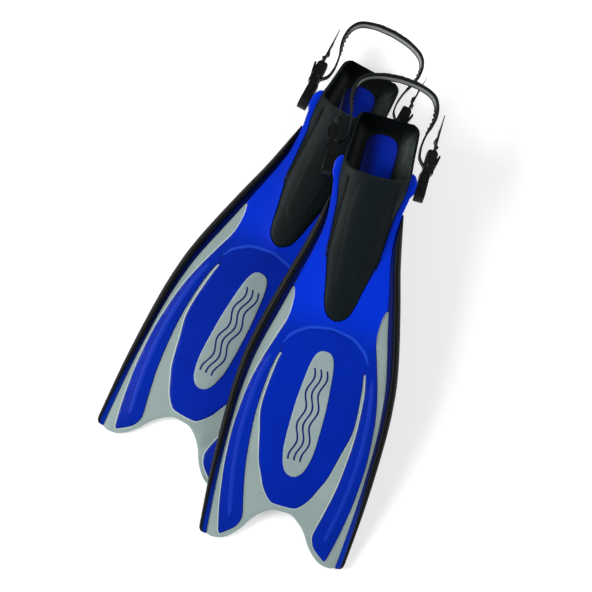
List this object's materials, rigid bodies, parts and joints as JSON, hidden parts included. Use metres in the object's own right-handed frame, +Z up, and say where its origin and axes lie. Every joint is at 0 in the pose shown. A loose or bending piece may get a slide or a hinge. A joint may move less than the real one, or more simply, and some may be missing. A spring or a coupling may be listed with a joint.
{
  "type": "pair of swim fins",
  "caption": "Open-heel swim fins with forked blades, rubber foot pockets and toothed heel straps on swivel quick-release buckles, one laid across the other.",
  "frame": {"origin": "on the floor at the middle of the lower fin's outsole", "axes": "+Y along the bisector of the two fins, heels towards +Y and blade tips towards -Y; +Z up from the floor; +X to the wearer's right, where the upper fin lies"},
  "size_m": [0.413, 0.7842, 0.1758],
  "materials": {
    "grey_plastic": "satin moulded blade plastic",
    "badge_grey": "satin, bare",
    "blue_plastic": "semi-gloss translucent blue",
    "strip_blue": "semi-gloss deep blue",
    "bed_blue": "satin blue",
    "black_rubber": "matt moulded rubber",
    "strap_rubber": "satin moulded rubber",
    "buckle_plastic": "satin black nylon",
    "pin_steel": "stainless steel"
  },
  "bodies": {
    "lower_fin": {"lower_blade_plate": "grey_plastic", "lower_blade_frame": "blue_plastic", "lower_center_panel": "blue_plastic", "lower_badge_plate": "badge_grey", "lower_left_rail": "black_rubber", "lower_right_rail": "black_rubber", "lower_left_edge_strip": "strip_blue", "lower_right_edge_strip": "strip_blue", "lower_foot_pocket": "black_rubber", "lower_outsole": "black_rubber", "lower_sole_plate": "bed_blue", "lower_strap_studs": "buckle_plastic"},
    "lower_strap": {"lower_heel_strap": "strap_rubber", "lower_left_buckle_base": "buckle_plastic", "lower_right_buckle_base": "buckle_plastic", "lower_left_buckle_frame": "buckle_plastic", "lower_right_buckle_frame": "buckle_plastic", "lower_buckle_pins": "pin_steel"},
    "lower_left_lever": {"lower_left_ratchet_lever": "buckle_plastic"},
    "lower_left_roller": {"lower_left_strap_roller": "buckle_plastic"},
    "lower_left_top_button": {"lower_left_top_button": "buckle_plastic"},
    "lower_left_bottom_button": {"lower_left_bottom_button": "buckle_plastic"},
    "lower_right_lever": {"lower_right_ratchet_lever": "buckle_plastic"},
    "lower_right_roller": {"lower_right_strap_roller": "buckle_plastic"},
    "lower_right_top_button": {"lower_right_top_button": "buckle_plastic"},
    "lower_right_bottom_button": {"lower_right_bottom_button": "buckle_plastic"},
    "upper_fin": {"upper_blade_plate": "grey_plastic", "upper_blade_frame": "blue_plastic", "upper_center_panel": "blue_plastic", "upper_badge_plate": "badge_grey", "upper_left_rail": "black_rubber", "upper_right_rail": "black_rubber", "upper_left_edge_strip": "strip_blue", "upper_right_edge_strip": "strip_blue", "upper_foot_pocket": "black_rubber", "upper_outsole": "black_rubber", "upper_sole_plate": "bed_blue", "upper_strap_studs": "buckle_plastic"},
    "upper_strap": {"upper_heel_strap": "strap_rubber", "upper_left_buckle_base": "buckle_plastic", "upper_right_buckle_base": "buckle_plastic", "upper_left_buckle_frame": "buckle_plastic", "upper_right_buckle_frame": "buckle_plastic", "upper_buckle_pins": "pin_steel"},
    "upper_left_lever": {"upper_left_ratchet_lever": "buckle_plastic"},
    "upper_left_roller": {"upper_left_strap_roller": "buckle_plastic"},
    "upper_left_top_button": {"upper_left_top_button": "buckle_plastic"},
    "upper_left_bottom_button": {"upper_left_bottom_button": "buckle_plastic"},
    "upper_right_lever": {"upper_right_ratchet_lever": "buckle_plastic"},
    "upper_right_roller": {"upper_right_strap_roller": "buckle_plastic"},
    "upper_right_top_button": {"upper_right_top_button": "buckle_plastic"},
    "upper_right_bottom_button": {"upper_right_bottom_button": "buckle_plastic"}
  },
  "joints": [
    {"name": "upper_fin_lift", "type": "slide", "parent": "lower_fin", "child": "upper_fin", "axis": [0, 0, 1], "range_m": [0, 0.3]},
    {"name": "lower_strap_swing", "type": "hinge", "parent": "lower_fin", "child": "lower_strap", "pos_m": [0.00694, 0.05859, 0.052], "axis": [0.9931, -0.1175, 0], "range_deg": [-17, 17]},
    {"name": "lower_left_lever_press", "type": "hinge", "parent": "lower_strap", "child": "lower_left_lever", "pos_m": [-0.06452, 0.10526, 0.05399], "axis": [0.0062, 0.052, -0.9986], "range_deg": [0, 14], "stiffness_Nm_per_rad": 0.05, "springref_deg": -5.73},
    {"name": "lower_left_roller_spin", "type": "hinge", "parent": "lower_strap", "child": "lower_left_roller", "pos_m": [-0.0552, 0.10365, 0.05396], "axis": [-0.0062, -0.052, 0.9986], "continuous": true},
    {"name": "lower_left_top_button_press", "type": "slide", "parent": "lower_strap", "child": "lower_left_top_button", "axis": [0.0062, 0.052, -0.9986], "range_m": [0, 0.002], "stiffness_N_per_m": 300, "springref_m": -0.001},
    {"name": "lower_left_bottom_button_press", "type": "slide", "parent": "lower_strap", "child": "lower_left_bottom_button", "axis": [-0.0062, -0.052, 0.9986], "range_m": [0, 0.002], "stiffness_N_per_m": 300, "springref_m": -0.001},
    {"name": "lower_right_lever_press", "type": "hinge", "parent": "lower_strap", "child": "lower_right_lever", "pos_m": [0.08732, 0.08729, 0.05399], "axis": [-0.0062, -0.052, 0.9986], "range_deg": [0, 14], "stiffness_Nm_per_rad": 0.05, "springref_deg": -5.73},
    {"name": "lower_right_roller_spin", "type": "hinge", "parent": "lower_strap", "child": "lower_right_roller", "pos_m": [0.07787, 0.0879, 0.05396], "axis": [-0.0062, -0.052, 0.9986], "continuous": true},
    {"name": "lower_right_top_button_press", "type": "slide", "parent": "lower_strap", "child": "lower_right_top_button", "axis": [0.0062, 0.052, -0.9986], "range_m": [0, 0.002], "stiffness_N_per_m": 300, "springref_m": -0.001},
    {"name": "lower_right_bottom_button_press", "type": "slide", "parent": "lower_strap", "child": "lower_right_bottom_button", "axis": [-0.0062, -0.052, 0.9986], "range_m": [0, 0.002], "stiffness_N_per_m": 300, "springref_m": -0.001},
    {"name": "upper_strap_swing", "type": "hinge", "parent": "upper_fin", "child": "upper_strap", "pos_m": [0.0757, -0.01897, 0.13317], "axis": [0.9931, 0.1175, 0], "range_deg": [-12, 110]},
    {"name": "upper_left_lever_press", "type": "hinge", "parent": "upper_strap", "child": "upper_left_lever", "pos_m": [-0.00469, 0.00974, 0.13478], "axis": [-0.005, 0.0422, -0.9991], "range_deg": [0, 14], "stiffness_Nm_per_rad": 0.05, "springref_deg": -5.73},
    {"name": "upper_left_roller_spin", "type": "hinge", "parent": "upper_strap", "child": "upper_left_roller", "pos_m": [0.00476, 0.01036, 0.13476], "axis": [0.005, -0.0422, 0.9991], "continuous": true},
    {"name": "upper_left_top_button_press", "type": "slide", "parent": "upper_strap", "child": "upper_left_top_button", "axis": [-0.005, 0.0422, -0.9991], "range_m": [0, 0.002], "stiffness_N_per_m": 300, "springref_m": -0.001},
    {"name": "upper_left_bottom_button_press", "type": "slide", "parent": "upper_strap", "child": "upper_left_bottom_button", "axis": [0.005, -0.0422, 0.9991], "range_m": [0, 0.002], "stiffness_N_per_m": 300, "springref_m": -0.001},
    {"name": "upper_right_lever_press", "type": "hinge", "parent": "upper_strap", "child": "upper_right_lever", "pos_m": [0.14716, 0.02772, 0.13478], "axis": [0.005, -0.0422, 0.9991], "range_deg": [0, 14], "stiffness_Nm_per_rad": 0.05, "springref_deg": -5.73},
    {"name": "upper_right_roller_spin", "type": "hinge", "parent": "upper_strap", "child": "upper_right_roller", "pos_m": [0.13783, 0.02611, 0.13476], "axis": [0.005, -0.0422, 0.9991], "continuous": true},
    {"name": "upper_right_top_button_press", "type": "slide", "parent": "upper_strap", "child": "upper_right_top_button", "axis": [-0.005, 0.0422, -0.9991], "range_m": [0, 0.002], "stiffness_N_per_m": 300, "springref_m": -0.001},
    {"name": "upper_right_bottom_button_press", "type": "slide", "parent": "upper_strap", "child": "upper_right_bottom_button", "axis": [0.005, -0.0422, 0.9991], "range_m": [0, 0.002], "stiffness_N_per_m": 300, "springref_m": -0.001}
  ]
}
